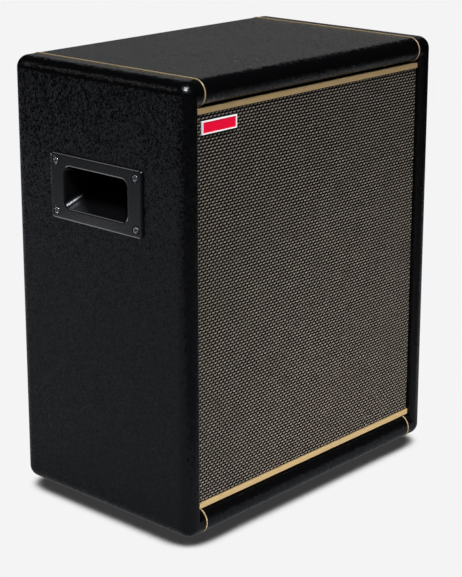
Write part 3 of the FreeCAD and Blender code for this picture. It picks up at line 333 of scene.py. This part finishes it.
# The valleys are painted darker than the crowns: this is painted shade in the valleys between the pebbles.
colour = add(tree, "Mix", {6: linear("020202"), 7: linear("060607")}, {0: crown.outputs[0]}, data_type="RGBA")
gloss = add(tree, "MapRange", {"To Min": VALLEY_ROUGH, "To Max": CROWN_ROUGH}, {"Value": crown.outputs[0]})
patches = add(tree, "TexNoise", {"Scale": 1 / (PATCH_MM * MM), "Detail": 2.0}, {"Vector": place})
worn = add(tree, "MapRange",
           {"From Min": NOISE_LOW, "From Max": NOISE_HIGH, "To Min": -0.01, "To Max": 0.015},
           {"Value": patches.outputs["Fac"]})
gloss = add(tree, "Math", links={0: gloss.outputs[0], 1: worn.outputs[0]}, operation="ADD")
bump = add(tree, "Bump", {"Strength": 1.0, "Distance": RELIEF_MM * MM}, {"Height": crown.outputs[0]})
tilt = add(tree, "VectorMath", {1: [2 * TILT] * 3, 2: [-TILT] * 3}, {0: cells.outputs["Color"]},
           operation="MULTIPLY_ADD")
facing = add(tree, "VectorMath", links={0: bump.outputs[0], 1: tilt.outputs[0]}, operation="ADD")
facing = add(tree, "VectorMath", links={0: facing.outputs[0]}, operation="NORMALIZE")
tree.links.new(colour.outputs[2], shader.inputs["Base Color"])
tree.links.new(gloss.outputs[0], shader.inputs["Roughness"])
tree.links.new(facing.outputs[0], shader.inputs["Normal"])
finish["vinyl"] = vinyl


# %% [markdown]
# ## Piping, gold bars and badge
# The piping is a cord wrapped in cream-gold PVC, pressed into the seams. The bars are extruded aluminium,
# brushed along their length and anodised gold: the brush lines stretch each highlight across the bar. The
# badge is a moulded pale frame with a red enamel face under a clear coat. All four have a fine grain and
# little else, so the grain function makes them, with its size in millimetres.

# %% Trim
# Extruding PVC over a cord leaves a smooth skin with a faint waviness.
finish["piping"] = grained("cream_pvc_piping", 1.2, "866f4c", "a6926b", (0.2, 0.32), 0.06,
                           {"Specular IOR Level": 0.6})
# A belt brushed the bar along its length before the gold dye went into the oxide.
finish["gold_trim"] = grained("gold_anodised_aluminium", 0.5, "ab8d5e", "baa076", (0.36, 0.5), 0.012,
                              {"Metallic": 0.35}, stretch=(0.012, 1, 1))
# The frame comes from a lightly polished mould.
finish["badge_white"] = grained("pale_moulded_abs", 0.8, "e6dcda", "f3ecea", (0.3, 0.42), 0.01,
                                {"Coat Weight": 0.2})
# The enamel is poured into the frame, and its clear skin sets slightly wavy.
finish["badge_red"] = grained("red_enamel", 1.6, "d4002a", "e80836", (0.25, 0.36), 0.015,
                              {"Coat Weight": 0.6, "Coat Roughness": 0.12})


# %% [markdown]
# ## Moulded plastics, rubber and screws
# The handles, ports and sockets are injection-moulded black ABS, with the fine even texture that a spark-
# eroded mould leaves. Rubber is dull and slightly dusty. The screws are steel, blacked by oxide, with a
# brighter skin where the driver has rubbed.

# %% Plastics, rubber, screws
# A spark-eroded mould leaves a fine even texture.
finish["black_abs"] = grained("moulded_black_abs", 0.45, "030304", "0a0a0b", (0.2, 0.3), 0.02,
                              {"Specular IOR Level": 0.42})
# The moulds of the knob and the buttons were blasted, so these are duller than the handles.
finish["knob"] = grained("moulded_black_nylon", 0.5, "0d0d0e", "1b1b1d", (0.38, 0.5), 0.02, {})
# The rocker comes from a polished mould.
finish["rocker"] = grained("glossy_black_abs", 1.5, "0a0a0b", "121214", (0.14, 0.24), 0.01, {})
# Pressed rubber gets a pale bloom with age.
finish["rubber"] = grained("moulded_black_rubber", 0.7, "101010", "1c1b1a", (0.6, 0.8), 0.03,
                           {"Specular IOR Level": 0.3})
# A hot oxide bath blacks the steel, and the driver rubs it brighter.
finish["black_screw"] = grained("black_oxide_steel", 0.4, "6a6a70", "8e8e94", (0.14, 0.26), 0.01,
                                {"Metallic": 0.85})


# %% [markdown]
# ## Boards and paint
# The box is birch plywood, the baffle and the rear panel are boards sprayed with black spatter paint, and
# the amplifier plate is powder coated. All three paints are dull with a fine lumpy relief.

# %% Boards and paint
# The veneer is sanded, and its grain runs along the depth of the box.
finish["plywood"] = grained("sanded_birch_plywood", 4.0, "b28a5c", "d6b585", (0.5, 0.65), 0.05, {},
                            stretch=(1, 0.06, 0.2))
# The paint is sprayed in drops that don't flow together.
finish["black_board"] = grained("black_spatter_paint", 1.1, "09090a", "161617", (0.55, 0.75), 0.12,
                                {"Specular IOR Level": 0.35})
# Powder melts in an oven into a skin like orange peel.
finish["amp_paint"] = grained("black_powder_coat", 0.6, "0e0e10", "1a1a1d", (0.42, 0.58), 0.035, {})
# The cast frame of the woofer is blasted and coated.
finish["basket"] = grained("coated_cast_aluminium", 0.9, "151516", "242426", (0.5, 0.65), 0.05, {})


# %% [markdown]
# ## Pieces inside the cabinet
# The drivers and the amplifier sit behind the cloth and the plate. They are finished too, because the
# part may be taken apart: pressed paper, varnished copper, zinc plate, ferrite, treated cloth, solder
# mask and wadding.

# %% Finishes of the drivers
# Pulp is sucked onto a wire screen and dried, which leaves fine lumps.
finish["cone_paper"] = grained("pressed_pulp", 1.2, "16130f", "2a2520", (0.75, 0.9), 0.12, {})
# Varnished wire is wound in tight turns, which show as lines round the coil.
finish["coil_copper"] = grained("enamelled_copper_wire", 0.3, "9c4a22", "d67c42", (0.25, 0.4), 0.05,
                                {"Metallic": 1.0}, stretch=(0.05, 1, 0.05))
# Cotton is dipped in amber resin and pressed hot into rings.
finish["spider_cloth"] = grained("resin_treated_cotton", 0.6, "a07a34", "d2a851", (0.7, 0.85), 0.08, {})
# Zinc plate is bright, with a faint cloudiness from its bath.
finish["steel"] = grained("zinc_plated_steel", 1.5, "9aa0a6", "c3c6c8", (0.3, 0.48), 0.01, {"Metallic": 1.0})
# The magnet is powder, pressed and fired like a pot.
finish["ferrite"] = grained("sintered_ferrite", 0.5, "26272a", "3a3b3e", (0.55, 0.75), 0.04, {})
# The dome is woven silk under a damping coat.
finish["dome_silk"] = grained("coated_silk", 0.35, "0f0f12", "202026", (0.4, 0.55), 0.03, {})

# %% Finishes of the amplifier, leads and pads
# Green lacquer is printed over the copper tracks.
finish["circuit_board"] = grained("green_solder_mask", 2.4, "0b3d22", "14603a", (0.25, 0.4), 0.03, {})
# A die leaves lines along the length of the profile.
finish["heat_sink"] = grained("extruded_aluminium", 0.8, "8d8f92", "b9bbbd", (0.35, 0.5), 0.01,
                              {"Metallic": 1.0}, stretch=(1, 1, 0.03))
# Glossy tape is wrapped round the transformer's winding.
finish["winding_tape"] = grained("polyester_tape", 6.0, "b8901c", "dcb640", (0.25, 0.4), 0.06, {})
# Turned brass is plated with nickel, which looks warmer than zinc.
finish["nickel"] = grained("nickel_plated_brass", 1.0, "b4aea2", "d6d1c6", (0.16, 0.3), 0.005,
                           {"Metallic": 1.0})
# The jacket is extruded over stranded wire.
finish["lead"] = grained("pvc_wire_jacket", 1.0, "3a0a0a", "5c1111", (0.4, 0.55), 0.03, {})
# Crimped fibres are blown together and bonded by heat, so they scatter light like a fleece.
finish["damping"] = grained("polyester_wadding", 1.6, "bdbdb8", "e2e2de", (0.9, 1.0), 0.6,
                            {"Sheen Weight": 0.3})


# %% [markdown]
# ## Put the finishes on the CAD nodes
# The record says which finish each node has, so one loop assigns them all. The grille cloth's solid gets
# none, because the woven cloth below takes its place.

# %% Assign finishes
for subpart in frame["record"]["subparts"]:
    slots = nodes[subpart["node"]].data.materials
    slots.clear()
    if subpart["material_slot"] in finish:
        slots.append(finish[subpart["material_slot"]])
print("finishes used:", sorted(finish))


# %% [markdown]
# ## Woven grille cloth
# The cloth is a plain weave: pale ribbon-like wefts lie across, 3.57 mm apart, and dark warps run up and
# down, 3.18 mm apart. A thin black sheet just behind the weave is painted shade, standing in for the shade
# in the gaps between the yarns. Each weft passes over one warp and under the next, and its neighbours do
# the opposite, so the pale floats make a brick pattern. The tension of the weave sets each float a little
# aslant and pinches the ribbon where it dives under. A texture on a flat sheet loses the depth and the
# small highlight on every float, so each yarn is a real ribbon, three points wide, that bends over and
# under. The ends turn round the frame's edges, where the cloth is stapled.

# %% Yarn finishes
FIBRE_LONG_MM, FIBRE_WIDE_MM = 3, 0.3
# Flat polyester filaments lie side by side along the ribbon.
weft_finish, tree, shader, place = material("silver_polyester_ribbon", {"Specular IOR Level": 0.5})
fibre_scale = [1 / (size * MM) for size in (FIBRE_LONG_MM, FIBRE_WIDE_MM, FIBRE_WIDE_MM)]
strand = add(tree, "Mapping", {"Scale": fibre_scale}, {"Vector": place})
fibre = add(tree, "TexNoise", {"Scale": 1.0, "Detail": 2.0}, {"Vector": strand.outputs[0]})
colour = add(tree, "Mix", {6: linear("554e44"), 7: linear("84796e")}, {0: fibre.outputs["Fac"]},
             data_type="RGBA")
bump = add(tree, "Bump", {"Strength": 0.6, "Distance": 0.05 * MM}, {"Height": fibre.outputs["Fac"]})
gloss = add(tree, "MapRange", {"To Min": 0.4, "To Max": 0.6}, {"Value": fibre.outputs["Fac"]})
tree.links.new(colour.outputs[2], shader.inputs["Base Color"])
tree.links.new(gloss.outputs[0], shader.inputs["Roughness"])
tree.links.new(bump.outputs[0], shader.inputs["Normal"])
# Spun yarn, dyed black, drinks in nearly all light. The black sheet behind it is painted shade for the gaps
# between the yarns.
warp_finish = grained("black_polyester_yarn", 0.4, "030303", "0b0b0a", (0.5, 0.65), 0.04,
                      {"Specular IOR Level": 0.05}, stretch=(1, 1, 0.15))
shade_sheet_finish = grained("black_shade_sheet", 0.5, "040404", "0b0b0b", (0.8, 0.95), 0.05,
                        {"Specular IOR Level": 0.05})

# %% Sizes of the weave
WEFT_PITCH, WARP_PITCH = 3.57 * MM, 3.18 * MM
WEFT_WIDTH, WARP_WIDTH = 1.75 * MM, 2.0 * MM
WEFT_CROWN, WARP_CROWN = 0.75 * MM, 0.3 * MM
SWING, SLANT, PINCH = 0.4 * MM, 0.3 * MM, 0.6
TURN_IN, END_IN = 10.5 * MM, 0.3 * MM
low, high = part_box("grille_cloth")
middle_y = low.y + 0.9 * MM
span, rise = high.x - low.x, high.z - low.z
weft_count, warp_count = round(rise / WEFT_PITCH), round(span / WARP_PITCH)
weft_step, warp_step = rise / weft_count, span / warp_count
print("wefts", weft_count, "warps", warp_count)


# %% Yarn and cloth tools
def ribbon(points, across):
    """Rows of three points, edge, crown and edge, along a yarn; the crown stands out towards the front."""
    rows = []
    for point, width, crown in points:
        half = across * (width / 2)
        rows.append((point - half, point + Vector((0, -crown, 0)), point + half))
    return rows


def cloth_piece(name, strips, made_of):
    """One smooth mesh of many strips of rows of points, with its finish."""
    places, faces = [], []
    for rows in strips:
        start, wide = len(places), len(rows[0])
        for row in rows:
            places.extend(row)
        for i in range(len(rows) - 1):
            for j in range(wide - 1):
                a = start + wide * i + j
                faces.append((a, a + 1, a + wide + 1, a + wide))
    mesh = bpy.data.meshes.new(name)
    mesh.from_pydata(places, [], faces)
    mesh.polygons.foreach_set("use_smooth", [True] * len(mesh.polygons))
    mesh.materials.append(made_of)
    piece = bpy.data.objects.new(name, mesh)
    scene.collection.objects.link(piece)
    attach(piece, "cabinet")
    print(name, "faces", len(faces))
    return piece


# %% Weave the wefts
wefts = []
for row in range(weft_count):
    z = low.z + (row + 0.5) * weft_step
    points = [(Vector((low.x + END_IN, low.y + TURN_IN, z)), WEFT_WIDTH * PINCH, 0)]
    rings = 4 * warp_count
    for i in range(rings + 1):
        x = low.x + span * i / rings
        phase = math.pi * (x - low.x) / warp_step + math.pi * (row + 0.5)
        share = 0.5 + 0.5 * math.cos(phase)
        width = WEFT_WIDTH * (PINCH + (1 - PINCH) * share)
        point = Vector((x, middle_y - SWING * math.cos(phase), z + SLANT * math.sin(phase)))
        points.append((point, width, WEFT_CROWN * share))
    points.append((Vector((high.x - END_IN, low.y + TURN_IN, z)), WEFT_WIDTH * PINCH, 0))
    wefts.append(ribbon(points, Vector((0, 0, 1))))
weft_cloths = [cloth_piece("grille_wefts_even", wefts[0::2], weft_finish),
               cloth_piece("grille_wefts_odd", wefts[1::2], weft_finish)]

# %% Weave the warps
warps = []
for column in range(warp_count):
    x = low.x + (column + 0.5) * warp_step
    points = [(Vector((x, low.y + TURN_IN, low.z + END_IN)), WARP_WIDTH, WARP_CROWN)]
    rings = 2 * weft_count
    for i in range(rings + 1):
        z = low.z + rise * i / rings
        wave = math.cos(math.pi * (z - low.z) / weft_step + math.pi * (column + 0.5))
        points.append((Vector((x, middle_y - SWING * wave, z)), WARP_WIDTH, WARP_CROWN))
    points.append((Vector((x, low.y + TURN_IN, high.z - END_IN)), WARP_WIDTH, WARP_CROWN))
    warps.append(ribbon(points, Vector((1, 0, 0))))
warp_cloth = cloth_piece("grille_warps", warps, warp_finish)

# %% The black sheet behind the cloth, painted shade
SHADE_SHEET_STEP = 4.0 * MM
columns, layers = round(span / SHADE_SHEET_STEP), round(rise / SHADE_SHEET_STEP)
shade_sheet_y = low.y + 0.97 * MM
field = []
for k in range(-1, layers + 2):
    z = low.z + rise * min(max(k, 0), layers) / layers
    row = []
    for i in range(-1, columns + 2):
        x = low.x + span * min(max(i, 0), columns) / columns
        turned = k in (-1, layers + 1) or i in (-1, columns + 1)
        row.append(Vector((x, low.y + TURN_IN if turned else shade_sheet_y, z)))
    field.append(row)
shade_sheet = cloth_piece("grille_shade_sheet", [field], shade_sheet_finish)
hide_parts("grille_cloth")


# %% [markdown]
# ## Print on the amplifier plate
# The plate is screen printed in white before its controls are fitted. Eleven ticks make the scale round
# the volume knob, whose travel is 300 degrees, and a bar and a ring stand above and below the power
# switch. Real ink is a few hundredths of a millimetre thick, and so is this print. An image could carry
# it, but thin bars stay sharp from close by.

# %% A printed bar
INK = 0.04 * MM
BAR_FACES = ((0, 1, 2, 3), (7, 6, 5, 4), (0, 4, 5, 1), (1, 5, 6, 2), (2, 6, 7, 3), (3, 7, 4, 0))
# Ink pressed through a mesh dries with a faint tooth.
finish["ink"] = grained("white_screen_ink", 0.4, "c4c4c0", "e4e4e0", (0.5, 0.65), 0.01, {})
plate_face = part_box("amp_plate")[1].y
print_points, print_faces = [], []


def printed(middle, turn, half_width, reach):
    """One flat printed bar: it points away from a middle, between two distances, at a turn from upright."""
    start = len(print_points)
    out = Vector((-math.sin(turn), 0, math.cos(turn)))
    across = Vector((math.cos(turn), 0, math.sin(turn)))
    for height in (0, INK):
        for distance, side in ((reach[0], -1), (reach[0], 1), (reach[1], 1), (reach[1], -1)):
            corner = middle + out * distance + across * (side * half_width)
            print_points.append((corner.x, plate_face + height, corner.z))
    print_faces.extend([tuple(start + i for i in face) for face in BAR_FACES])


def middle_of(node):
    """Middle of a node's box."""
    node_low, node_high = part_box(node)
    return (node_low + node_high) / 2


# %% Scale of the volume knob
TICKS, FIRST_TICK, TICK_TURN = 11, -150, 30
TICK_START, SHORT_TICK, LONG_TICK = 1.5 * MM, 3.5 * MM, 4.5 * MM
knob_low, knob_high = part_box("volume_knob")
knob_radius = (knob_high.z - knob_low.z) / 2
for tick in range(TICKS):
    tick_end = LONG_TICK if tick % 5 == 0 else SHORT_TICK
    printed(middle_of("volume_knob"), math.radians(FIRST_TICK + TICK_TURN * tick), 0.3 * MM,
            (knob_radius + TICK_START, knob_radius + tick_end))

# %% Bar and ring of the power switch
LINE_HALF = 0.35 * MM
RING_RADIUS, RING_BARS = 1.8 * MM, 24
switch_low, switch_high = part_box("power_switch_frame")
switch_middle = middle_of("power_switch_frame")
switch_half = switch_high.z - switch_middle.z
printed(switch_middle, 0, LINE_HALF, (switch_half + 2 * MM, switch_half + 6 * MM))
ring_middle = Vector((switch_middle.x, 0, switch_low.z - 4 * MM))
for bar in range(RING_BARS):
    printed(ring_middle, math.tau * bar / RING_BARS, RING_RADIUS * math.tan(math.pi / RING_BARS),
            (RING_RADIUS - LINE_HALF, RING_RADIUS + LINE_HALF))

# %% Screen print
print_mesh = bpy.data.meshes.new("panel_print")
print_mesh.from_pydata(print_points, [], print_faces)
print_mesh.materials.append(finish["ink"])
panel_print = bpy.data.objects.new("panel_print", print_mesh)
scene.collection.objects.link(panel_print)
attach(panel_print, "cabinet")
print("printed bars:", len(print_faces) // len(BAR_FACES))


# %% [markdown]
# ## Damping pads
# Sheets of polyester wadding are glued to the inner side walls. Wadding has no sharp edges: its faces
# swell and its corners sink, so each pad is a fine box whose surface is pushed towards a rounded form.

# %% Damping pads
THICK = 25.0 * MM
FULL, SINK, RIPPLE = 0.92, 0.35, 0.05
DRAWN_IN = 0.015
low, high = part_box("damping_pads")
pads = bmesh.new()
for side, inner in ((low.x, low.x + THICK), (high.x - THICK, high.x)):
    pad = bmesh.new()
    bmesh.ops.create_cube(pad, size=1.0)
    bmesh.ops.subdivide_edges(pad, edges=pad.edges, cuts=9, use_grid_fill=True)
    for vertex in pad.verts:
        u, v, w = vertex.co * 2
        edge = max(abs(v), abs(w)) ** 6
        swell = FULL - SINK * edge + RIPPLE * math.cos(5 * v) * math.cos(4 * w)
        narrow, lower = (1 - DRAWN_IN - DRAWN_IN * way * way for way in (w, v))
        vertex.co = Vector(((side + inner) / 2 + u * swell * THICK / 2,
                            (low.y + high.y) / 2 + v * (high.y - low.y) / 2 * narrow,
                            (low.z + high.z) / 2 + w * (high.z - low.z) / 2 * lower))
    pad_half = bpy.data.meshes.new("pad_half")
    pad.to_mesh(pad_half)
    pad.free()
    pads.from_mesh(pad_half)
    bpy.data.meshes.remove(pad_half)
pad_mesh = bpy.data.meshes.new("damping_wadding")
pads.to_mesh(pad_mesh)
pads.free()
pad_mesh.polygons.foreach_set("use_smooth", [True] * len(pad_mesh.polygons))
pad_mesh.materials.append(finish["damping"])
wadding = bpy.data.objects.new("damping_wadding", pad_mesh)
scene.collection.objects.link(wadding)
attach(wadding, "cabinet")
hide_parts("damping_pads")
print("wadding faces", len(pad_mesh.polygons))
